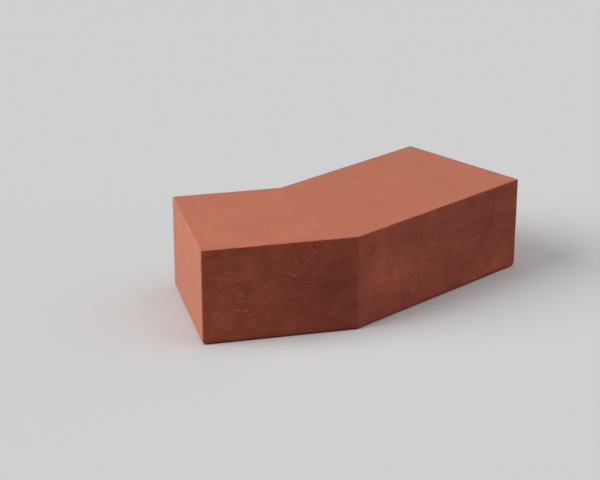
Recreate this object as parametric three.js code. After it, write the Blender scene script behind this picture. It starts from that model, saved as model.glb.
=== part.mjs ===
// Angle brick: a clay special that carries a facing wall round an outside bend without a cut joint.
//
// Two arms of one leaf meet at a mitre. The short arm is a half brick along its face and the long
// arm is three quarters of a brick, so turning every other course over keeps a quarter bond on both
// walls. The unit is one solid of moulded and fired clay, with no frog and no perforations, and every
// arris is eased by the mould and the kiln.
//
// Units are millimetres. +Z is up and +X runs out along the long arm. The faced sides look towards
// -Y. The origin is on the lower bed, where the centre lines of the two arms cross.

import * as THREE from "three";

// Driving dimensions
const width = 102.5; // through the leaf: half of a 215 brick less half its joint
const height = 65; // one course of 75 less a 10 bed joint
const shortArm = 102.5; // along the outer face, from the quoin to the end
const longArm = 158.75; // along the outer face, from the quoin to the end
const turn = 30; // degrees that the wall turns through at the quoin
const bedArris = 0.8; // radius where a bed meets a side
const uprightEase = 0.2; // how much larger the radius of an upright arris is

// Facets
const uprightFacets = 3; // pairs of facets round each upright arris
const bedFacets = 6; // facets over each bed arris

const FIRED_CLAY = new THREE.MeshStandardMaterial({
  name: "fired_clay",
  color: 0xb9705a,
  roughness: 0.85,
  metalness: 0,
});

// Corners of the plan, anticlockwise from the quoin. Each arm is a strip of the same width on its
// own centre line, cut off square at its end, and the strips meet on the mitre.
function planCorners() {
  const turned = THREE.MathUtils.degToRad(turn);
  const halfWidth = width / 2;
  const quoin = new THREE.Vector2(-halfWidth * Math.tan(turned / 2), -halfWidth);
  const innerCorner = quoin.clone().negate();

  const alongLong = new THREE.Vector2(1, 0);
  const acrossLong = new THREE.Vector2(0, 1);
  const alongShort = new THREE.Vector2(-Math.cos(turned), Math.sin(turned));
  const acrossShort = new THREE.Vector2(Math.sin(turned), Math.cos(turned));

  const longOuterEnd = quoin.clone().addScaledVector(alongLong, longArm);
  const shortOuterEnd = quoin.clone().addScaledVector(alongShort, shortArm);
  const longInnerEnd = longOuterEnd.clone().addScaledVector(acrossLong, width);
  const shortInnerEnd = shortOuterEnd.clone().addScaledVector(acrossShort, width);
  return [quoin, longOuterEnd, longInnerEnd, innerCorner, shortInnerEnd, shortOuterEnd];
}

// The plan with an arc of the given radius at each corner. The corner between the two back faces
// turns the other way, and is filled by its arc where the rest are eased by theirs.
function roundedPlan(corners, radius) {
  const plan = new THREE.Shape();
  corners.forEach((corner, i) => {
    const arriving = corner.clone().sub(corners.at(i - 1)).normalize();
    const leaving = corners[(i + 1) % corners.length].clone().sub(corner).normalize();
    const bend = Math.atan2(arriving.cross(leaving), arriving.dot(leaving));
    const towardsCentre = new THREE.Vector2(-arriving.y, arriving.x).multiplyScalar(Math.sign(bend));
    const setBack = radius * Math.tan(Math.abs(bend) / 2);
    const centre = corner.clone().addScaledVector(arriving, -setBack).addScaledVector(towardsCentre, radius);
    const start = towardsCentre.clone().negate().angle();
    plan.absarc(centre.x, centre.y, radius, start, start + bend, bend < 0);
  });
  return plan.closePath();
}

// The unit: its plan drawn up to the course height, with the bed arrises rounded inside that height.
function angleBrick() {
  const plan = roundedPlan(planCorners(), bedArris + uprightEase);
  const geometry = new THREE.ExtrudeGeometry(plan, {
    depth: height - 2 * bedArris,
    curveSegments: uprightFacets,
    bevelThickness: bedArris,
    bevelSize: bedArris,
    bevelOffset: -bedArris,
    bevelSegments: bedFacets,
  });
  geometry.translate(0, 0, bedArris);
  const brick = new THREE.Mesh(geometry, FIRED_CLAY);
  brick.name = "brick";
  return brick;
}

const part = new THREE.Group();
part.name = "angle_brick";
part.add(angleBrick());

export default part;
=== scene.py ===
"""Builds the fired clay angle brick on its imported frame, and the plain studio that it stands in."""

import math

import bmesh
import bpy
from bpy.props import FloatProperty, FloatVectorProperty, IntProperty, PointerProperty
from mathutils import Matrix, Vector, kdtree, noise


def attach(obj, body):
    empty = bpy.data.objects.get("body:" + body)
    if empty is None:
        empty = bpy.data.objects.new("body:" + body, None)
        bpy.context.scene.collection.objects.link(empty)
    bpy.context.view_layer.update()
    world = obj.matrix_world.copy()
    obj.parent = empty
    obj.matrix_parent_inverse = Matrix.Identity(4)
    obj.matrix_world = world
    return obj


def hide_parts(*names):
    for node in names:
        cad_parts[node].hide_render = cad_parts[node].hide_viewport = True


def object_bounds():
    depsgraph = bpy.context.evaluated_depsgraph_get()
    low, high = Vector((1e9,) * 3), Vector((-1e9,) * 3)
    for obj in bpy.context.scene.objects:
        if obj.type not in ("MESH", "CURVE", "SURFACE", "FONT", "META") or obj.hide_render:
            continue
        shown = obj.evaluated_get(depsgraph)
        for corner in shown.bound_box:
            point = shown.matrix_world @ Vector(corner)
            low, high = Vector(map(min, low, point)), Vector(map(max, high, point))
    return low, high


bl_info = {
    "name": "Angle Brick",
    "version": (1, 0, 0),
    "blender": (4, 5, 0),
    "location": "View3D > Sidebar > Angle Brick",
    "description": "Builds a fired clay angle brick with a creased facing, and a plain studio",
    "category": "Add Mesh",
}

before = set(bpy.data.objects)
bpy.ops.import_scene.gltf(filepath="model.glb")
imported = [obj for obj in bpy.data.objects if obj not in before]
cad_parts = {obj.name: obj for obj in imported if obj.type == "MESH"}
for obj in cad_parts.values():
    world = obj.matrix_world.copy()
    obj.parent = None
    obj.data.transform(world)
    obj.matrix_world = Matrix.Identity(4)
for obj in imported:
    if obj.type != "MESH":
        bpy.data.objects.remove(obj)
cad_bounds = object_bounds()

UP = Vector((0, 0, 1))

# All lengths are in metres

# How the mesh of the brick is divided
RIM = 0.0022  # between an edge of the plain prism and the first cut beside it
CELL = 0.010  # between the other cuts
CLAY_CUTS = 3  # further cuts across each cell
FACING_RUN_CUTS = 3  # on the faced sides, between those cuts, along the wall
FACING_RISE_CUTS = 5  # and up it
ARRIS_STEPS = 4  # facets over each arris
SQUARE_TURN = math.radians(50)  # an edge that turns further than this is square
FACED = 0.4  # with more outwardness than this a face is part of a faced side
NEAR_FACED = 0.3  # and a vertex may carry listed marks
MERGE = 1e-6  # a cut this near a vertex goes through it

# How the arrises are eased and worn
BEND_REACH = 0.0012  # how far the easing of the quoin and of the re-entrant corner reaches
QUOIN_LINE = 0.0005  # how far from the quoin its own sharp edges run
QUOIN_FOOT = 0.0035  # how far from the quoin the lower arris keeps its line
FOOT_HEIGHT = 0.0015  # how far up the sides the lower arris is worn
FOOT_WEAR = 20  # passes that wear it

# How deep the relief of the bare clay goes
SWELL_DEPTH = 0.00007
GRIT_DEPTH = 0.00002
ARRIS_DEPTH = 0.00016  # raggedness of every arris
FOOT_DEPTH = 0.00010  # and how much more the lower ones have
NICK_DEPTH = 0.00025

# The facing's relief beside its creases and pits, and the limit to all relief
FACING_SWELL_DEPTH = 0.00005
ARRIS_CALM = 0.5  # how much shallower it is at an arris
RELIEF_SHARE = 0.6  # the deepest relief, as a share of the radius of the surface's bend there

# How far the facing reaches round the arrises
UPRIGHT_WRAP = 0.10
LOWER_WRAP = 0.75
UPPER_HOLD = 0.26  # how far it is held back at the upper one
BORDER_RAGGED = 0.35  # how uneven its border is
BORDER_NICKED = 0.40  # and how far it follows the nicks
LEAST_COVER = 0.02  # with less of it there are no marks

# Marks strewn over the surface: the usual distance between two of them along the face and up it, the
# share of the places for a mark that have one where the face is quiet, how much that share rises
# where the marks crowd together, and the layer of the noise that they are drawn from.
STREWN_PITS = (0.0030, 0.0022, 0.06, 0.38, 11.5)
STREWN_GROOVES = (0.0080, 0.0014, 0.03, 0.22, 23.5)
STREWN_BURRS = (0.0070, 0.0013, 0.03, 0.22, 41.5)
STREWN_NICKS = (0.0060, 1.0, 0.5, 0.0, 61.5)  # the same at every height
MARK_CORE = 0.08  # how far the full strength of a strewn mark reaches, in those distances
MARK_EDGE = 0.30  # and where the mark ends
MARK_RANGE = 0.6  # how much weaker than the strongest of them the weakest is
MARK_SCATTER = 5.3  # sets the draw for one mark apart from those for its neighbours

# Marks and patches of the tables below, by their own half sizes
SINGLE_CORE = 0.35  # how far the full strength of a mark reaches
SINGLE_EDGE = 1.05  # and where the mark ends
SINGLE_DROP = 1.8  # how far under a pit its raised rim stands, and under a drag mark its groove
PATCH_FALL = 0.9  # how steeply a patch fades

# How strong marks are, where a listed one has the strength that its table gives
PIT_STRENGTH = 0.8  # strewn pits
PIT_RIM_STRENGTH = 0.38  # the raised rims of strewn pits, also painted lighter as a painted highlight
DRAG_STRENGTH = 0.5  # strewn drag marks
SINGLE_RIM_SHARE = 1.0  # the raised rims of listed pits, also painted lighter as a painted highlight, as a share of the pits
SINGLE_GROOVE_SHARE = 0.6  # the grooves under listed drag marks, darkened with painted shade as the burr's shadow, as a share of the drag marks

DRAG_FALL = 0.10  # how much the marks of the long arm fall along it
DRAG_WAVER = 0.0009  # how far a drag mark wavers up and down
RIM_BELOW = 0.0011  # how far under a strewn pit its raised rim stands

# How much the creases, pits and drag marks of each faced side usually crowd together
SHORT_ARM_CROWD = 0.46
LONG_ARM_CROWD = 0.38
QUIET_LOSS = 0.4  # and how much less they do so in the quiet places between

# Kiln flashing of each faced side as a whole, partly painted light and shade: the short arm is darkened
# and the long one lightened for the light that falls on each
SHORT_ARM_FLASH_AND_PAINTED_SHADE = -0.30
LONG_ARM_FLASH_AND_PAINTED_LIGHT = 0.14
FOOT_PAINTED_SHADE = 3  # painted shade of the contact shadow: how much darker it is where the facing turns under the foot
FLASH_STIR = 60  # how often in a metre the borders of its patches wander
FLASH_DRIFT = 0.006  # and how far they wander along the wall
FLASH_LIFT = 0.005  # and up it

ARM_ENDS = (-0.10, 0.16)  # where the tone of the clay starts and stops changing along the wall
VARIANT_SHIFT = Vector((0.017, 0.031, 0.053))  # between the noise of one variant and the next

# A colour is multiplied by a tint between the two of a pair
RUN_TINTS = ((0.99, 1.045, 1.085), (1.02, 0.985, 0.965))  # from the short arm's end to the long one's
MOTTLE_TINTS = ((0.715, 0.565, 0.45), (1.285, 1.435, 1.55))
SAND_TINTS = ((0.94, 0.86, 0.80), (1.06, 1.14, 1.20))

# How the clay takes the light
GLOSS = 0.22
SHEEN = 0.11
SHEEN_ROUGHNESS = 0.5
GRAIN_STRENGTH = 0.55
GRAIN_DEPTH = 0.00012

# The studio
FLOOR_HALF = 12  # half the floor's side
FLOOR_ROUGHNESS = 0.9
LAMP_DISTANCE = 2  # only where a lamp stands, because distant light is the same everywhere
SENSOR_WIDTH = 36  # in millimetres, as the lens is
LENS = 104.31
CAMERA_PLACE = (-0.75385, -0.76829, 0.46776)
CAMERA_DIP = math.radians(21.472)  # how far it looks down
CAMERA_HEADING = math.radians(-43.819)  # how far it turns from +Y, less than 0 towards +X

# Patches of kiln flashing on the faced sides, partly painted light and shade where a side takes more or
# less light:
# distance along the face from the quoin, which is negative on the short arm, height, half length, half
# height and strength. Dark is below zero.
FLASH_AND_PAINTED_LIGHT_PATCHES = (
    (-0.013, 0.032, 0.029, 0.024, -1.45),
    (-0.084, 0.060, 0.022, 0.006, -0.35),
    (-0.072, 0.018, 0.030, 0.016, 0.35),
    (-0.092, 0.007, 0.024, 0.010, 0.45),
    (-0.080, 0.046, 0.026, 0.010, 0.35),
    (0.020, 0.033, 0.018, 0.014, 1.45),
    (0.036, 0.016, 0.016, 0.008, 0.30),
    (0.049, 0.034, 0.016, 0.012, 0.30),
    (0.046, 0.054, 0.014, 0.010, -0.85),
    (0.088, 0.056, 0.018, 0.010, -0.85),
    (0.092, 0.036, 0.020, 0.016, -0.35),
    (0.098, 0.016, 0.018, 0.008, -0.30),
    (0.078, 0.006, 0.016, 0.008, 0.60),
    (0.130, 0.040, 0.018, 0.016, -1.15),
    (0.134, 0.059, 0.022, 0.007, -1.05),
    (0.129, 0.006, 0.022, 0.009, 1.15),
    (0.148, 0.010, 0.012, 0.009, 0.30),
    (0.156, 0.040, 0.006, 0.010, -0.60),
)

# Patches in the same way where creases, pits and drag marks crowd together. They are few below zero.
CROWDS = (
    (-0.044, 0.047, 0.007, 0.012, 0.90),
    (-0.029, 0.056, 0.006, 0.006, 0.60),
    (-0.063, 0.047, 0.006, 0.012, 0.50),
    (-0.088, 0.046, 0.012, 0.010, 0.50),
    (-0.078, 0.022, 0.014, 0.012, 0.55),
    (-0.034, 0.013, 0.005, 0.008, 0.55),
    (-0.022, 0.033, 0.007, 0.008, 0.40),
    (-0.010, 0.048, 0.012, 0.010, -0.60),
    (-0.053, 0.030, 0.007, 0.009, -0.40),
    (0.014, 0.007, 0.009, 0.005, 0.50),
    (0.024, 0.034, 0.014, 0.012, -0.60),
    (0.049, 0.016, 0.007, 0.009, 0.70),
    (0.065, 0.034, 0.006, 0.005, 0.50),
    (0.077, 0.040, 0.005, 0.006, 0.50),
    (0.072, 0.055, 0.014, 0.007, -0.50),
    (0.085, 0.016, 0.014, 0.009, -0.50),
    (0.099, 0.027, 0.009, 0.005, 0.60),
    (0.117, 0.048, 0.009, 0.007, 0.55),
    (0.130, 0.036, 0.009, 0.010, -0.50),
    (0.132, 0.057, 0.010, 0.005, 0.50),
    (0.151, 0.031, 0.007, 0.009, 0.60),
)

# Single pits in the facing, with the same five numbers. The strength is how deep each is and how dark its
# painted shade is; a raised rim under each is painted lighter as a painted highlight.
PITS = (
    (-0.0163, 0.0613, 0.0009, 0.0007, 1.00),
    (-0.0146, 0.0567, 0.0008, 0.0006, 0.60),
    (-0.0294, 0.0604, 0.0009, 0.0007, 0.85),
    (-0.0264, 0.0531, 0.0019, 0.0006, 0.52),
    (-0.0210, 0.0505, 0.0010, 0.0006, 0.45),
    (-0.0247, 0.0380, 0.0009, 0.0006, 0.50),
    (-0.0215, 0.0378, 0.0009, 0.0006, 0.40),
    (-0.0325, 0.0377, 0.0008, 0.0006, 0.58),
    (-0.0374, 0.0500, 0.0010, 0.0007, 0.52),
    (-0.0418, 0.0589, 0.0012, 0.0007, 0.44),
    (-0.0460, 0.0416, 0.0010, 0.0008, 0.58),
    (-0.0414, 0.0438, 0.0009, 0.0007, 0.62),
    (-0.0435, 0.0402, 0.0008, 0.0005, 0.42),
    (-0.0320, 0.0356, 0.0008, 0.0008, 0.55),
    (-0.0345, 0.0145, 0.0007, 0.0016, 0.55),
    (-0.0242, 0.0132, 0.0012, 0.0007, 0.62),
    (-0.0162, 0.0128, 0.0012, 0.0007, 0.50),
    (-0.0400, 0.0155, 0.0014, 0.0005, 0.46),
    (-0.0405, 0.0240, 0.0012, 0.0005, 0.50),
    (-0.0510, 0.0095, 0.0014, 0.0005, 0.42),
    (-0.0598, 0.0077, 0.0016, 0.0008, 0.52),
    (-0.0637, 0.0123, 0.0009, 0.0006, 0.50),
    (-0.0608, 0.0453, 0.0009, 0.0007, 0.85),
    (-0.0609, 0.0403, 0.0006, 0.0009, 0.45),
    (-0.0637, 0.0535, 0.0010, 0.0006, 0.55),
    (-0.0680, 0.0518, 0.0012, 0.0005, 0.50),
    (-0.0820, 0.0381, 0.0009, 0.0006, 0.50),
    (-0.0785, 0.0402, 0.0016, 0.0005, 0.36),
    (-0.0915, 0.0172, 0.0016, 0.0005, 0.55),
    (0.0111, 0.0596, 0.0012, 0.0007, 0.52),
    (0.0425, 0.0540, 0.0014, 0.0006, 0.40),
    (0.0767, 0.0370, 0.0018, 0.0006, 0.80),
    (0.0800, 0.0262, 0.0011, 0.0007, 0.60),
    (0.0462, 0.0190, 0.0012, 0.0006, 0.45),
    (0.0482, 0.0142, 0.0014, 0.0006, 0.50),
    (0.0455, 0.0085, 0.0016, 0.0005, 0.45),
    (0.0174, 0.0037, 0.0014, 0.0007, 0.60),
    (0.1060, 0.0255, 0.0014, 0.0006, 0.50),
    (0.1110, 0.0467, 0.0010, 0.0006, 0.40),
    (0.1180, 0.0447, 0.0010, 0.0008, 0.60),
    (0.1352, 0.0156, 0.0011, 0.0006, 0.40),
    (0.1540, 0.0487, 0.0010, 0.0007, 0.50),
)

# Single drag marks in the same way, where the facing was scraped thin or a burr stands on it. A
# fainter groove runs under each, darkened with painted shade as the burr's shadow.
DRAGS = (
    (-0.0772, 0.0222, 0.0095, 0.0006, 0.75),
    (-0.0813, 0.0420, 0.0075, 0.0008, 1.00),
    (-0.0697, 0.0435, 0.0026, 0.0010, 1.00),
    (-0.0708, 0.0573, 0.0022, 0.0009, 1.00),
    (-0.0422, 0.0566, 0.0027, 0.0006, 0.75),
    (-0.0328, 0.0522, 0.0012, 0.0014, 0.90),
    (-0.0513, 0.0195, 0.0030, 0.0006, 0.45),
    (-0.0508, 0.0167, 0.0030, 0.0006, 0.75),
    (-0.0297, 0.0258, 0.0026, 0.0007, 0.45),
    (-0.0910, 0.0185, 0.0028, 0.0007, 0.80),
    (-0.0965, 0.0330, 0.0010, 0.0007, 0.90),
    (-0.0160, 0.0178, 0.0010, 0.0008, 0.90),
    (-0.0962, 0.0061, 0.0020, 0.0014, 0.75),
    (0.0168, 0.0461, 0.0011, 0.0008, 1.00),
    (0.0754, 0.0427, 0.0020, 0.0008, 1.00),
    (0.0750, 0.0386, 0.0014, 0.0009, 1.00),
    (0.0685, 0.0342, 0.0022, 0.0008, 0.95),
    (0.0924, 0.0315, 0.0024, 0.0006, 0.75),
    (0.1014, 0.0261, 0.0026, 0.0008, 0.85),
    (0.0543, 0.0211, 0.0014, 0.0009, 1.00),
    (0.0463, 0.0085, 0.0032, 0.0006, 0.60),
    (0.1250, 0.0120, 0.0080, 0.0007, 0.60),
    (0.1370, 0.0090, 0.0070, 0.0007, 0.60),
    (0.1296, 0.0542, 0.0036, 0.0008, 0.78),
    (0.1420, 0.0511, 0.0020, 0.0010, 1.00),
    (0.1544, 0.0170, 0.0027, 0.0006, 0.80),
)


class AngleBrickSizes(bpy.types.PropertyGroup):
    """Sizes of the brick"""

    width: FloatProperty(
        name="Width",
        description="Through the leaf, from the outer faces to the inner ones",
        default=0.1025,
        min=0.05,
        unit="LENGTH",
    )
    height: FloatProperty(
        name="Height",
        description="From bed to bed",
        default=cad_bounds[1].z - cad_bounds[0].z,
        min=0.03,
        unit="LENGTH",
    )
    short_arm: FloatProperty(
        name="Short Arm",
        description="Along the outer face, from the quoin to the end",
        default=0.1025,
        min=0.05,
        unit="LENGTH",
    )
    long_arm: FloatProperty(
        name="Long Arm",
        description="Along the outer face, from the quoin to the end",
        default=0.15875,
        min=0.05,
        unit="LENGTH",
    )
    turn: FloatProperty(
        name="Turn",
        description="How far the wall turns at the quoin",
        default=math.radians(30),
        min=math.radians(5),
        max=math.radians(60),
        subtype="ANGLE",
    )
    upper_arris: FloatProperty(
        name="Upper Arris",
        description="Radius where the upper bed meets a side",
        default=0.0008,
        min=0.0005,
        max=0.002,
        unit="LENGTH",
    )
    lower_arris: FloatProperty(
        name="Lower Arris",
        description="Radius where the lower bed meets a side, more worn than the upper one",
        default=0.001,
        min=0.0005,
        max=0.002,
        unit="LENGTH",
    )
    upright_arris: FloatProperty(
        name="Upright Arris",
        description="Radius of each square upright corner",
        default=0.001,
        min=0.0005,
        max=0.002,
        unit="LENGTH",
    )


class AngleBrickFinish(bpy.types.PropertyGroup):
    """Colours and relief of the fired clay and of its facing"""

    clay: FloatVectorProperty(
        name="Clay",
        description="Plain fired clay, as on the ends and the back",
        subtype="COLOR",
        size=3,
        min=0,
        max=1,
        default=(0.515, 0.172, 0.101),
    )
    # Painted shade: the beds are the clay made darker, for the top taking less light than the ends
    bed: FloatVectorProperty(
        name="Bed",
        description="Plain fired clay of the two beds",
        subtype="COLOR",
        size=3,
        min=0,
        max=1,
        default=(0.465, 0.1355, 0.0737),
    )
    facing: FloatVectorProperty(
        name="Facing",
        description="The facing at its middle tone",
        subtype="COLOR",
        size=3,
        min=0,
        max=1,
        default=(0.314, 0.0609, 0.0308),
    )
    # Also the colour of painted shade, under the foot and where a faced side takes less light
    facing_dark_and_shade: FloatVectorProperty(
        name="Dark Flash",
        description="The facing where the kiln has darkened it",
        subtype="COLOR",
        size=3,
        min=0,
        max=1,
        default=(0.196, 0.0380, 0.0198),
    )
    # Also the colour of painted light, where a faced side takes more light
    facing_warm_and_lit: FloatVectorProperty(
        name="Warm Flash",
        description="The facing where it is lighter and more orange",
        subtype="COLOR",
        size=3,
        min=0,
        max=1,
        default=(0.449, 0.0940, 0.0455),
    )
    # Painted shade: the facing is darkened to this down in its pits, grooves and crease troughs
    hollow_shade: FloatVectorProperty(
        name="Hollow",
        description="The facing down in its pits and grooves",
        subtype="COLOR",
        size=3,
        min=0,
        max=1,
        default=(0.150, 0.0106, 0.0036),
    )
    crease_depth: FloatProperty(
        name="Crease Depth",
        description="How deep the creases of the facing go",
        default=0.00010,
        min=0,
        max=0.001,
        unit="LENGTH",
    )
    pit_depth: FloatProperty(
        name="Pit Depth",
        description="How deep the pits of the facing go",
        default=0.0007,
        min=0,
        max=0.002,
        unit="LENGTH",
    )
    variant: IntProperty(
        name="Variant",
        description="Gives each brick of a batch its own creases, pits and grain",
        default=3,
        min=0,
        max=100,
    )


def level(name, default):
    """A setting for how strong a light is."""
    return FloatProperty(name=name, description="Strength of this light", default=default, min=0)


def bearing(name, description, degrees):
    """A setting for an angle, with its default given in degrees."""
    return FloatProperty(
        name=name, description=description, default=math.radians(degrees), subtype="ANGLE"
    )


HEADING = "Where the light comes from, turning from +X to +Y"
RISE = "How far the light stands above the floor"
SPREAD = "How wide the light looks from the brick"


class AngleBrickStudio(bpy.types.PropertyGroup):
    """The floor and the lights"""

    floor: FloatVectorProperty(
        name="Floor",
        description="Colour of the floor and of what lies behind it",
        subtype="COLOR",
        size=3,
        min=0,
        max=1,
        default=(0.634, 0.634, 0.634),
    )
    sky: level("Sky", 0.0)
    key: level("Key", 2.535)
    key_heading: bearing("Key Heading", HEADING, 149.5)
    key_rise: bearing("Key Rise", RISE, 35)
    key_spread: bearing("Key Spread", SPREAD, 42)
    top: level("Top", 1.175)
    top_heading: bearing("Top Heading", HEADING, 290)
    top_rise: bearing("Top Rise", RISE, 88)
    top_spread: bearing("Top Spread", SPREAD, 60)
    fill: level("Fill", 0.95)
    fill_heading: bearing("Fill Heading", HEADING, 325)
    fill_rise: bearing("Fill Rise", RISE, 30)
    fill_spread: bearing("Fill Spread", SPREAD, 80)


# The plan


class Plan:
    """The two arms seen from above, each with its direction along, across and its length."""

    def __init__(self, sizes):
        half = sizes.width / 2
        turn = sizes.turn
        self.width = sizes.width
        self.quoin = Vector((-half * math.tan(turn / 2), -half, 0))
        self.inner = -self.quoin
        self.shorter = 2 * abs(self.quoin.x)  # how much less an arm runs on its inner face
        self.mitre_side = (self.inner - self.quoin).normalized().cross(UP)
        self.long = (Vector((1, 0, 0)), Vector((0, 1, 0)), sizes.long_arm)
        self.short = (
            Vector((-math.cos(turn), math.sin(turn), 0)),
            Vector((math.sin(turn), math.cos(turn), 0)),
            sizes.short_arm,
        )

    def arm_at(self, point):
        """Directions along and across the arm that holds a point, and the arm's length."""
        return self.long if point.dot(self.mitre_side) >= 0 else self.short

    def place(self, point):
        """A point's distance along the outer face from the quoin, its depth behind it, and its height."""
        along, across, _ = self.arm_at(point)
        out = point - self.quoin
        run = out.dot(along) if along is self.long[0] else -out.dot(along)
        return Vector((run, out.dot(across), point.z))

    def outwardness(self, normal):
        """1 where a normal points straight out of a faced side, and 0 or less where it turns away."""
        return max(-normal.dot(self.long[1]), -normal.dot(self.short[1]))


# The brick


def is_upright(edge):
    """Whether an edge runs straight up."""
    return abs((edge.verts[1].co - edge.verts[0].co).normalized().z) > 0.9


def from_quoin(plan, point):
    """A point's distance from the upright line of the quoin."""
    return (point.xy - plan.quoin.xy).length


def plain_prism(plan, height):
    """The plan as one quad for each arm, raised to the height."""
    bm = bmesh.new()
    quoin = bm.verts.new(plan.quoin)
    inner = bm.verts.new(plan.inner)
    for along, across, length in (plan.long, plan.short):
        outer_end = plan.quoin + along * length
        ends = (bm.verts.new(outer_end), bm.verts.new(outer_end + across * plan.width))
        bm.faces.new((quoin, *ends, inner))
    raised = bmesh.ops.extrude_face_region(bm, geom=bm.faces[:])["geom"]
    upper = [part for part in raised if isinstance(part, bmesh.types.BMVert)]
    bmesh.ops.translate(bm, verts=upper, vec=UP * height)
    bmesh.ops.recalc_face_normals(bm, faces=bm.faces[:])
    return bm


def steps(length, first, last):
    """Evenly spaced distances from first to length - last, about a cell apart."""
    count = max(1, round((length - first - last) / CELL))
    return [first + (length - first - last) * i / count for i in range(count + 1)]


def cut_upright(bm, faces, start, end):
    """Cuts some faces along the upright plane through two points."""
    geom = list(dict.fromkeys(part for face in faces for part in (face, *face.edges, *face.verts)))
    normal = (end - start).cross(UP).normalized()
    bmesh.ops.bisect_plane(bm, geom=geom, dist=MERGE, plane_co=start, plane_no=normal)


def faces_of(bm, plan, arm):
    """The faces that lie on one arm."""
    return [face for face in bm.faces if plan.arm_at(face.calc_center_median()) is arm]


def cut_cells(bm, plan, height):
    """Divides each arm into cells that meet at the mitre, with a rim beside each square edge."""
    for arm in (plan.long, plan.short):
        along, across, length = arm
        inner_length = length - plan.shorter
        for step in steps(length, 0, RIM)[1:]:
            share = step / (length - RIM)
            start = plan.quoin + along * step
            end = plan.inner + along * ((inner_length - RIM) * share)
            cut_upright(bm, faces_of(bm, plan, arm), start, end)
        for step in steps(plan.width, RIM, RIM):
            start = plan.quoin + across * step
            cut_upright(bm, faces_of(bm, plan, arm), start, start + along)
    for step in steps(height, RIM, RIM):
        geom = bm.verts[:] + bm.edges[:] + bm.faces[:]
        bmesh.ops.bisect_plane(bm, geom=geom, dist=MERGE, plane_co=UP * step, plane_no=UP)


def round_edges(bm, radius, chosen):
    """Rounds those square edges for which a test holds."""
    edges = [edge for edge in bm.edges if edge.calc_face_angle(0) > SQUARE_TURN and chosen(edge)]
    bmesh.ops.bevel(
        bm,
        geom=edges,
        offset=radius,
        offset_type="OFFSET",
        segments=ARRIS_STEPS,
        profile=0.5,
        affect="EDGES",
        material=-1,
    )


def refine(bm, plan):
    """Divides the cells, and those of the faced sides again along the wall and up it.

    The rims and the arrises are fine enough already, so their short edges are left alone.
    """
    cells = [edge for edge in bm.edges if edge.calc_length() > CELL * 0.4]
    bmesh.ops.subdivide_edges(bm, edges=cells, cuts=CLAY_CUTS, use_grid_fill=True)
    least = CELL / (CLAY_CUTS + 1) * 0.7
    for upright, cuts in ((False, FACING_RUN_CUTS), (True, FACING_RISE_CUTS)):
        faced = [face for face in bm.faces if plan.outwardness(face.normal) > FACED]
        edges = dict.fromkeys(edge for face in faced for edge in face.edges)
        chosen = [e for e in edges if e.calc_length() > least and is_upright(e) == upright]
        bmesh.ops.subdivide_edges(bm, edges=chosen, cuts=cuts, use_grid_fill=True)


def ease_bends(bm, plan):
    """Softens the quoin and the re-entrant corner, which turn too little for a full arris."""
    for corner in (plan.quoin, plan.inner):
        near = [vert for vert in bm.verts if (vert.co.xy - corner.xy).length < BEND_REACH]
        bmesh.ops.smooth_vert(
            bm, verts=near, factor=0.5, use_axis_x=True, use_axis_y=True, use_axis_z=False
        )


def at_quoin(edge, plan):
    """Whether an edge runs up the quoin, where the two faced sides meet."""
    middle = (edge.verts[0].co + edge.verts[1].co) / 2
    return is_upright(edge) and from_quoin(plan, middle) < QUOIN_LINE


def wear_foot(bm, plan):
    """Wears the lower arris rounder than the others, without blunting the quoin's corner."""
    foot = [vert for vert in bm.verts if vert.co.z < FOOT_HEIGHT]
    corner = [vert for vert in foot if from_quoin(plan, vert.co) < QUOIN_FOOT]
    along = [vert for vert in foot if from_quoin(plan, vert.co) >= QUOIN_FOOT]
    for _ in range(FOOT_WEAR):
        for verts, inward in ((along, True), (corner, False)):
            bmesh.ops.smooth_vert(
                bm, verts=verts, factor=0.5, use_axis_x=inward, use_axis_y=inward, use_axis_z=True
            )


# The surface


def smoothstep(low, high, value):
    """0 below a range and 1 above it, with an even rise between."""
    share = min(max((value - low) / (high - low), 0), 1)
    return share * share * (3 - 2 * share)


def marks(place, kind, crowd, variant):
    """How strong one of the marks strewn over a surface is at a point, 0 outside them.

    The noise gives the places for a mark, which of them have one, and how strong it is.
    """
    run_pitch, up_pitch, quiet_share, crowd_share, layer = kind
    layer += variant
    share = quiet_share + crowd_share * crowd
    distances, points = noise.voronoi(Vector((place.x / run_pitch, place.z / up_pitch, layer)))
    drawn = abs(noise.cell(points[0] * MARK_SCATTER + Vector((0, 0, layer))))
    if drawn >= share:
        return 0.0
    strength = 1 - MARK_RANGE * drawn / share
    return strength * (1 - smoothstep(MARK_CORE, MARK_EDGE, distances[0]))


def patches(place, table):
    """The sum of a table's soft patches at a point."""
    total = 0.0
    for run, up, half_run, half_up, strength in table:
        away = ((place.x - run) / half_run) ** 2 + ((place.z - up) / half_up) ** 2
        total += strength * math.exp(-PATCH_FALL * away)
    return total


def crowding(place, layer):
    """0 where the facing is quiet and 1 where its creases, pits and drag marks crowd together."""
    strewn = smoothstep(-0.30, 0.45, noise.noise(Vector((place.x * 42, place.z * 58, layer))))
    usual = SHORT_ARM_CROWD if place.x < 0 else LONG_ARM_CROWD
    return min(max(usual - QUIET_LOSS * (1 - strewn) + patches(place, CROWDS), 0), 1)


def pocked(place, crowd, variant):
    """How strong a pit of the facing is at a point."""
    return marks(place, STREWN_PITS, crowd * crowd, variant)


def dragged(place, crowd, variant):
    """What a drag mark does to the facing at a point: up to -1 in a groove, and 1 on a burr."""
    waver = noise.noise(Vector((place.x * 110, place.z * 60, 17)))
    wavy = place + UP * DRAG_WAVER * waver
    groove = marks(wavy, STREWN_GROOVES, crowd, variant)
    return marks(wavy, STREWN_BURRS, crowd, variant) - groove


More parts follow.
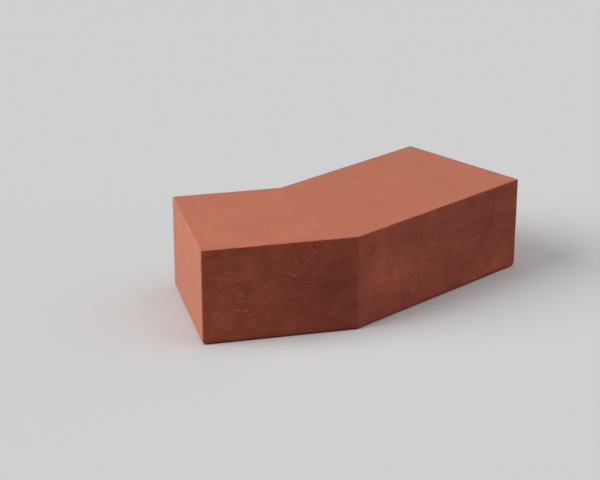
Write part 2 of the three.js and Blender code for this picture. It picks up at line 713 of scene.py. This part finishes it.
def single_marks(places, table):
    """How strong the listed marks are at each vertex that they reach, by its place."""
    tree = kdtree.KDTree(len(places))
    for index, place in places.items():
        tree.insert((place.x, place.z, 0), index)
    tree.balance()
    strengths = {}
    for run, up, half_run, half_up, strength in table:
        for point, index, _ in tree.find_range((run, up, 0), SINGLE_EDGE * max(half_run, half_up)):
            away = math.hypot((point.x - run) / half_run, (point.y - up) / half_up)
            made = strength * (1 - smoothstep(SINGLE_CORE, SINGLE_EDGE, away))
            strengths[index] = max(strengths.get(index, 0), made)
    return strengths


def beneath(table, share):
    """The same marks again, just under the listed ones and some share as strong."""
    return tuple(
        (run, up - SINGLE_DROP * half_up, half_run, half_up, share * strength)
        for run, up, half_run, half_up, strength in table
    )


def flash_and_painted_light_at(place):
    """Kiln flashing at a point of the faced sides, partly painted light and shade: below 0 is dark and
    above 0 is warm.
    """
    stir = Vector((place.x, place.z, 0)) * FLASH_STIR
    drift = noise.noise(stir) * FLASH_DRIFT
    lift = noise.noise(stir + Vector((9, 4, 2))) * FLASH_LIFT
    arm_flash_and_painted_light = SHORT_ARM_FLASH_AND_PAINTED_SHADE if place.x < 0 else LONG_ARM_FLASH_AND_PAINTED_LIGHT
    return arm_flash_and_painted_light + patches(place + Vector((drift, 0, lift)), FLASH_AND_PAINTED_LIGHT_PATCHES)


def bend_radius(vert):
    """The radius of the surface's tightest bend between a vertex and its neighbours."""
    return min(
        edge.calc_length() / max((edge.verts[0].normal - edge.verts[1].normal).length, 0.001)
        for edge in vert.link_edges
    )


def facing_cover(plan, normal, ragged):
    """How fully the facing covers a point, from 0 to 1.

    It wraps the upright arrises and the lower one, and stops short of the upper bed.
    """
    rise = normal.z
    outward = plan.outwardness(normal)
    wrap = UPRIGHT_WRAP * (1 - abs(rise)) - UPPER_HOLD * max(rise, 0)
    wrap -= LOWER_WRAP * min(rise, 0) * smoothstep(0.1, 0.4, outward)
    return smoothstep(0.12, 0.95, outward + wrap + smoothstep(0.1, 0.3, outward) * ragged)


def arris_share(plan, normal):
    """0 on the flat of the beds, sides and ends, and 1 where the surface turns between them."""
    flats = [abs(normal.dot(way)) for arm in (plan.long, plan.short) for way in arm[:2]]
    return 1 - smoothstep(0.80, 0.99, max(abs(normal.z), *flats))


def uneven(at, per_metre):
    """A number around 1, never below 0, which comes and goes some number of times in a metre."""
    return 1 + noise.noise(at * per_metre)


def clay_relief(at, rise, edge, nick):
    """How far the clay is sunk: every face swells, and the arrises are ragged and nicked."""
    sunk = SWELL_DEPTH * uneven(at, 28) + GRIT_DEPTH * uneven(at, 240)
    sunk += edge * (ARRIS_DEPTH + FOOT_DEPTH * max(-rise, 0)) * uneven(at, 110)
    return sunk + edge * NICK_DEPTH * nick


def facing_relief(course, crowd, pit, drag, finish):
    """How far the facing is sunk by its swell, creases, grooves and pits. Burrs stand highest."""
    swell = 1 + noise.noise(Vector((course.x * 70, course.z * 150, 2)))
    crease = 1 + noise.noise(Vector((course.x * 170, course.z * 700, 5)))
    sunk = finish.crease_depth * (1 - drag + (0.3 + crowd) * crease)
    return sunk + FACING_SWELL_DEPTH * swell + finish.pit_depth * pit


def carve(bm, plan, finish):
    """Gives the surface its relief and notes, for the finish, where each kind of surface lies."""
    layers = bm.verts.layers
    facing_layer = layers.float.new("facing")
    flash_and_painted_light_layer = layers.float.new("flash_and_painted_light")
    pit_layer = layers.float.new("pits")
    drag_layer = layers.float.new("drag")
    crowd_layer = layers.float.new("crowd")
    bed_shade_layer = layers.float.new("bed")
    course_layer = layers.float_vector.new("course")
    bm.normal_update()
    bm.verts.index_update()
    variant = finish.variant
    places = {
        vert.index: plan.place(vert.co)
        for vert in bm.verts
        if plan.outwardness(vert.normal) > NEAR_FACED
    }
    single_pits = single_marks(places, PITS)
    burrs_and_lit_rims = single_marks(places, DRAGS + beneath(PITS, SINGLE_RIM_SHARE))
    # A fainter groove under each listed drag mark, which the finish darkens with painted shade as the
    # burr's shadow
    grooves = single_marks(places, beneath(DRAGS, SINGLE_GROOVE_SHARE))
    moves = []
    for vert in bm.verts:
        place = places.get(vert.index) or plan.place(vert.co)
        at = vert.co + VARIANT_SHIFT * variant
        rise = vert.normal.z
        nick = marks(Vector((place.x, 0, 0)), STREWN_NICKS, 0, variant)
        ragged = BORDER_RAGGED * noise.noise(at * 160) + BORDER_NICKED * nick
        facing = facing_cover(plan, vert.normal, ragged)
        edge = arris_share(plan, vert.normal)
        sunk = clay_relief(at, rise, edge, nick)
        pit = 0.0
        drag = 0.0
        crowd = 0.0
        course = place
        if facing > LEAST_COVER:
            course = place + UP * (DRAG_FALL * max(place.x, 0))
            crowd = crowding(course, 7 + variant)
            pit = PIT_STRENGTH * pocked(place, crowd, variant)
            pit = max(pit, single_pits.get(vert.index, 0))
            drag = DRAG_STRENGTH * dragged(course, crowd, variant)
            # A raised rim under each strewn pit, which the finish also paints lighter as a painted
            # highlight
            drag += PIT_RIM_STRENGTH * pocked(place + UP * RIM_BELOW, crowd, variant)
            drag += burrs_and_lit_rims.get(vert.index, 0) - grooves.get(vert.index, 0)
            drag = min(max(drag, -1), 1)
            relief = facing_relief(course, crowd, pit, drag, finish)
            sunk += facing * relief * (1 - ARRIS_CALM * edge)
        sunk = min(sunk, RELIEF_SHARE * bend_radius(vert))
        vert[facing_layer] = facing
        # The flashing, with painted shade of the contact shadow where the facing turns under the foot
        vert[flash_and_painted_light_layer] = flash_and_painted_light_at(place) + FOOT_PAINTED_SHADE * min(rise, 0)
        vert[pit_layer] = pit * facing
        vert[drag_layer] = drag * facing
        vert[crowd_layer] = crowd
        vert[bed_shade_layer] = smoothstep(0.6, 0.9, abs(rise))
        vert[course_layer] = course
        moves.append((vert, vert.normal * -sunk))
    for vert, move in moves:
        vert.co += move


# Finish


def add_node(tree, kind, inputs=None, **settings):
    """Adds a node, sets what is given, and links the inputs that are sockets."""
    node = tree.nodes.new(kind)
    for name, value in settings.items():
        setattr(node, name, value)
    for name, value in (inputs or {}).items():
        if isinstance(value, bpy.types.NodeSocket):
            tree.links.new(value, node.inputs[name])
        else:
            node.inputs[name].default_value = value
    return node


def grain_of(tree, place, scale, stretch=(1, 1, 1), detail=3.0, rough=0.55, stir=0.0):
    """A noise at a scale per metre over some coordinates, which may be stretched and stirred."""
    scaled = add_node(
        tree, "ShaderNodeMapping", {"Vector": place, "Scale": tuple(scale * s for s in stretch)}
    )
    made = add_node(
        tree,
        "ShaderNodeTexNoise",
        {
            "Vector": scaled.outputs[0],
            "Scale": 1.0,
            "Detail": detail,
            "Roughness": rough,
            "Distortion": stir,
        },
    )
    return made.outputs["Fac"]


def ramp(tree, value, low, high, to_low=0.0, to_high=1.0):
    """Maps the range low to high onto another one, held at its ends."""
    made = add_node(
        tree,
        "ShaderNodeMapRange",
        {"Value": value, "From Min": low, "From Max": high, "To Min": to_low, "To Max": to_high},
    )
    return made.outputs[0]


def blend(tree, share, first, second, kind="MIX"):
    """Mixes two colours."""
    inputs = {0: share, 6: first, 7: second}
    return add_node(tree, "ShaderNodeMix", inputs, data_type="RGBA", blend_type=kind).outputs[2]


def between(tree, share, first, second):
    """Mixes two numbers."""
    return add_node(tree, "ShaderNodeMix", {0: share, 2: first, 3: second}).outputs[0]


def combine(tree, operation, first, second):
    """One step of arithmetic on two values."""
    return add_node(tree, "ShaderNodeMath", {0: first, 1: second}, operation=operation).outputs[0]


def shade(tree, colour, tone):
    """A colour made lighter or darker."""
    tones = add_node(tree, "ShaderNodeCombineColor", {0: tone, 1: tone, 2: tone}).outputs[0]
    return blend(tree, 1.0, colour, tones, "MULTIPLY")


def tint(tree, colour, share, pair):
    """A colour multiplied by another one, which runs from the first of a pair to the second."""
    first, second = pair
    return blend(tree, 1.0, colour, blend(tree, share, opaque(first), opaque(second)), "MULTIPLY")


def note(tree, name, output="Fac"):
    """Reads one of the notes that carving left on the surface."""
    made = add_node(tree, "ShaderNodeAttribute", attribute_type="GEOMETRY", attribute_name=name)
    return made.outputs[output]


def run_of(tree, course, to_low=0.0, to_high=1.0):
    """How far along the wall a point lies, mapped from the short arm's end to the long one's."""
    run = add_node(tree, "ShaderNodeSeparateXYZ", {0: course}).outputs[0]
    return ramp(tree, run, *ARM_ENDS, to_low, to_high)


def opaque(colour):
    """A colour with its alpha."""
    return (*colour, 1.0)


def plain_clay(tree, finish, course, place):
    """Colour, roughness and height of the plain clay: fine grain, a soft mottle and a few specks.

    It is a little paler towards the end of the short arm.
    """
    fired = run_of(tree, course, 1.04, 0.965)
    mottle = grain_of(tree, place, 45, detail=2)
    grain = grain_of(tree, place, 900, detail=2, rough=0.7)
    specks = grain_of(tree, place, 420, detail=1)
    # The beds take the darker bed colour as painted shade
    clay = blend(tree, note(tree, "bed"), opaque(finish.clay), opaque(finish.bed))
    tone = combine(
        tree,
        "MULTIPLY",
        ramp(tree, mottle, 0.35, 0.65, 0.955, 1.045),
        ramp(tree, grain, 0.30, 0.70, 0.93, 1.07),
    )
    speckled = ramp(tree, specks, 0.70, 0.78, 1.0, 0.87)
    tone = combine(tree, "MULTIPLY", tone, fired)
    colour = shade(tree, clay, combine(tree, "MULTIPLY", tone, speckled))
    height = add_node(tree, "ShaderNodeMath", {0: grain, 1: 0.5, 2: 0.5}, operation="MULTIPLY_ADD")
    return colour, ramp(tree, grain, 0.3, 0.7, 0.82, 0.94), height.outputs[0]


def creased_facing(tree, finish, course, place):
    """Colour, roughness and height of the facing: flashing with painted light and shade, drag lines with
    painted highlights and shade, pits darkened with painted shade, and fine sand.
    """
    mottle = grain_of(tree, course, 60, (1, 1, 1.4), detail=5, rough=0.8)
    lines = grain_of(tree, course, 160, (1, 1, 4.5), detail=3, rough=0.6, stir=0.8)
    sand = grain_of(tree, place, 1400, detail=2, rough=0.7)
    flash_and_painted_light = note(tree, "flash_and_painted_light")
    # Kiln flashing with painted light and shade, from the dark colour through the middle tone to the warm
    # one
    dark = blend(tree, ramp(tree, flash_and_painted_light, -2.0, 0.0), opaque(finish.facing_dark_and_shade), opaque(finish.facing))
    colour = blend(tree, ramp(tree, flash_and_painted_light, 0.0, 2.0), dark, opaque(finish.facing_warm_and_lit))
    colour = tint(tree, colour, run_of(tree, course), RUN_TINTS)
    colour = tint(tree, colour, ramp(tree, mottle, 0.25, 0.75), MOTTLE_TINTS)
    colour = tint(tree, colour, ramp(tree, sand, 0.30, 0.70), SAND_TINTS)
    crowd = ramp(tree, note(tree, "crowd"), 0.0, 1.0, 0.20, 1.15)
    creased = combine(tree, "MULTIPLY", ramp(tree, lines, 0.30, 0.70, -1.4, 1.4), crowd)
    scraped = combine(tree, "ADD", note(tree, "drag"), creased)
    # High places are painted towards the clay colour: drag marks scraped thin, and painted highlights on
    # crease crests and pit rims
    thin = ramp(tree, scraped, 0.45, 1.25, 0.0, 0.62)
    colour = blend(tree, thin, colour, opaque(finish.clay))
    # Painted shade in the crease troughs and grooves
    groove_shade = ramp(tree, scraped, -1.25, -0.35, 0.60, 0.0)
    colour = blend(tree, groove_shade, colour, opaque(finish.hollow_shade))
    # Painted shade in the pits, with a ragged outline
    ragged = ramp(tree, grain_of(tree, place, 1100, detail=2), 0.30, 0.70, -0.22, 0.22)
    pits = ramp(tree, combine(tree, "ADD", note(tree, "pits"), ragged), 0.22, 0.60, 0.0, 0.85)
    colour = blend(tree, pits, colour, opaque(finish.hollow_shade))
    height = combine(tree, "ADD", combine(tree, "MULTIPLY", lines, 1.6), sand)
    return colour, ramp(tree, lines, 0.3, 0.7, 0.78, 0.92), height


def clay_finish(finish):
    """The brick's one finish: plain clay, with the facing over it on the faced sides."""
    material = bpy.data.materials.new("fired_clay_finish")
    material.use_nodes = True
    tree = material.node_tree
    tree.nodes.clear()
    place = add_node(tree, "ShaderNodeTexCoord").outputs["Object"]
    course = note(tree, "course", "Vector")
    edge = grain_of(tree, place, 420, detail=3, rough=0.7)
    facing = combine(tree, "ADD", note(tree, "facing"), ramp(tree, edge, 0.3, 0.7, -0.38, 0.38))
    facing = ramp(tree, facing, 0.40, 0.60)
    clay_colour, clay_rough, clay_height = plain_clay(tree, finish, course, place)
    face_colour, face_rough, face_height = creased_facing(tree, finish, course, place)
    colour = blend(tree, facing, clay_colour, face_colour)
    rough = between(tree, facing, clay_rough, face_rough)
    height = between(tree, facing, clay_height, face_height)
    bump = add_node(
        tree,
        "ShaderNodeBump",
        {"Strength": GRAIN_STRENGTH, "Distance": GRAIN_DEPTH, "Height": height},
    )
    shader = add_node(
        tree,
        "ShaderNodeBsdfPrincipled",
        {"Base Color": colour, "Roughness": rough, "Normal": bump.outputs[0]},
    )
    shader.inputs["Specular IOR Level"].default_value = GLOSS
    shader.inputs["Sheen Weight"].default_value = SHEEN
    shader.inputs["Sheen Roughness"].default_value = SHEEN_ROUGHNESS
    add_node(tree, "ShaderNodeOutputMaterial", {"Surface": shader.outputs[0]})
    return material


# The studio


def floor_finish(look):
    """Pale, matt board."""
    material = bpy.data.materials.new("studio_floor_finish")
    material.use_nodes = True
    tree = material.node_tree
    tree.nodes.clear()
    shader = add_node(
        tree,
        "ShaderNodeBsdfPrincipled",
        {
            "Base Color": opaque(look.floor),
            "Roughness": FLOOR_ROUGHNESS,
            "Specular IOR Level": 0.0,
        },
    )
    add_node(tree, "ShaderNodeOutputMaterial", {"Surface": shader.outputs[0]})
    return material


def even_sky(look):
    """The floor's own colour to the camera and in reflections, and light from all round if wanted."""
    world = bpy.data.worlds.new("studio_sky")
    world.use_nodes = True
    tree = world.node_tree
    tree.nodes.clear()
    path = add_node(tree, "ShaderNodeLightPath")
    seen = combine(tree, "MAXIMUM", path.outputs["Is Camera Ray"], path.outputs["Is Glossy Ray"])
    seen = combine(tree, "MAXIMUM", seen, path.outputs["Is Transmission Ray"])
    light = add_node(tree, "ShaderNodeBackground", {"Color": (1, 1, 1, 1), "Strength": look.sky})
    view = add_node(tree, "ShaderNodeBackground", {"Color": opaque(look.floor), "Strength": 1.0})
    mixed = add_node(
        tree, "ShaderNodeMixShader", {0: seen, 1: light.outputs[0], 2: view.outputs[0]}
    )
    add_node(tree, "ShaderNodeOutputWorld", {"Surface": mixed.outputs[0]})
    bpy.context.scene.world = world


def add_lamp(name, strength, heading, rise, spread):
    """A soft, distant lamp that shines from its heading and rise towards the brick."""
    lamp = bpy.data.lights.new(name, "SUN")
    lamp.energy = strength
    lamp.angle = spread
    holder = bpy.data.objects.new(name, lamp)
    bpy.context.scene.collection.objects.link(holder)
    source = Vector(
        (
            math.cos(heading) * math.cos(rise),
            math.sin(heading) * math.cos(rise),
            math.sin(rise),
        )
    )
    holder.location = source * LAMP_DISTANCE
    holder.rotation_euler = source.to_track_quat("Z", "Y").to_euler()


def add_camera():
    """Looks down at the quoin from beyond the faced sides, with a long lens."""
    camera = bpy.data.cameras.new("studio_camera")
    camera.sensor_width = SENSOR_WIDTH
    camera.lens = LENS
    holder = bpy.data.objects.new("studio_camera", camera)
    bpy.context.scene.collection.objects.link(holder)
    holder.location = CAMERA_PLACE
    holder.rotation_euler = (math.radians(90) - CAMERA_DIP, 0, CAMERA_HEADING)
    bpy.context.scene.camera = holder


# Operators


class MESH_OT_angle_brick(bpy.types.Operator):
    """Make the fired clay angle brick in place of its plain solid"""

    bl_idname = "mesh.angle_brick"
    bl_label = "Angle Brick"
    bl_options = {"REGISTER", "UNDO"}

    def execute(self, context):
        """Shape, carve and finish the brick"""
        sizes = context.scene.angle_brick_sizes
        finish = context.scene.angle_brick_finish
        plan = Plan(sizes)
        bm = plain_prism(plan, sizes.height)
        cut_cells(bm, plan, sizes.height)
        round_edges(bm, sizes.upright_arris, is_upright)
        round_edges(bm, sizes.upper_arris, lambda edge: edge.verts[0].co.z > sizes.height / 2)
        round_edges(bm, sizes.lower_arris, lambda edge: edge.verts[0].co.z < sizes.height / 2)
        refine(bm, plan)
        ease_bends(bm, plan)
        wear_foot(bm, plan)
        carve(bm, plan, finish)
        if not all(edge.is_manifold for edge in bm.edges):
            raise RuntimeError("the brick's mesh isn't closed")
        for face in bm.faces:
            face.smooth = True
        for edge in bm.edges:
            edge.smooth = not at_quoin(edge, plan)
        mesh = bpy.data.meshes.new("fired_brick")
        bm.to_mesh(mesh)
        bm.free()
        mesh.materials.append(clay_finish(finish))
        brick = bpy.data.objects.new("fired_brick", mesh)
        context.scene.collection.objects.link(brick)
        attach(brick, "root")
        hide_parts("brick")
        return {"FINISHED"}


class SCENE_OT_angle_brick_studio(bpy.types.Operator):
    """Make the floor, the lights and the camera"""

    bl_idname = "scene.angle_brick_studio"
    bl_label = "Studio"
    bl_options = {"REGISTER", "UNDO"}

    def execute(self, context):
        """Set up the studio"""
        look = context.scene.angle_brick_studio
        bm = bmesh.new()
        bmesh.ops.create_grid(bm, x_segments=1, y_segments=1, size=FLOOR_HALF)
        mesh = bpy.data.meshes.new("studio_floor")
        bm.to_mesh(mesh)
        bm.free()
        mesh.materials.append(floor_finish(look))
        floor = bpy.data.objects.new("studio_floor", mesh)
        context.scene.collection.objects.link(floor)
        even_sky(look)
        add_lamp("key_light", look.key, look.key_heading, look.key_rise, look.key_spread)
        add_lamp("top_light", look.top, look.top_heading, look.top_rise, look.top_spread)
        add_lamp("fill_light", look.fill, look.fill_heading, look.fill_rise, look.fill_spread)
        add_camera()
        context.scene.view_settings.view_transform = "Standard"
        return {"FINISHED"}


class VIEW3D_PT_angle_brick(bpy.types.Panel):
    """Sizes, finish and studio of the angle brick"""

    bl_label = "Angle Brick"
    bl_idname = "VIEW3D_PT_angle_brick"
    bl_space_type = "VIEW_3D"
    bl_region_type = "UI"
    bl_category = "Angle Brick"

    def draw(self, context):
        """List every setting, and the two buttons"""
        scene = context.scene
        for settings, operator in (
            (scene.angle_brick_sizes, None),
            (scene.angle_brick_finish, "mesh.angle_brick"),
            (scene.angle_brick_studio, "scene.angle_brick_studio"),
        ):
            column = self.layout.column()
            for name in settings.__annotations__:
                column.prop(settings, name)
            if operator:
                column.operator(operator)


CLASSES = (
    AngleBrickSizes,
    AngleBrickFinish,
    AngleBrickStudio,
    MESH_OT_angle_brick,
    SCENE_OT_angle_brick_studio,
    VIEW3D_PT_angle_brick,
)


def register():
    """Adds the settings, the operators and the panel."""
    for cls in CLASSES:
        bpy.utils.register_class(cls)
    bpy.types.Scene.angle_brick_sizes = PointerProperty(type=AngleBrickSizes)
    bpy.types.Scene.angle_brick_finish = PointerProperty(type=AngleBrickFinish)
    bpy.types.Scene.angle_brick_studio = PointerProperty(type=AngleBrickStudio)


def unregister():
    """Takes them away again."""
    del bpy.types.Scene.angle_brick_studio
    del bpy.types.Scene.angle_brick_finish
    del bpy.types.Scene.angle_brick_sizes
    for cls in reversed(CLASSES):
        bpy.utils.unregister_class(cls)


def main():
    """Builds the studio and the brick."""
    register()
    bpy.ops.scene.angle_brick_studio()
    bpy.ops.mesh.angle_brick()


if __name__ == "__main__":
    main()
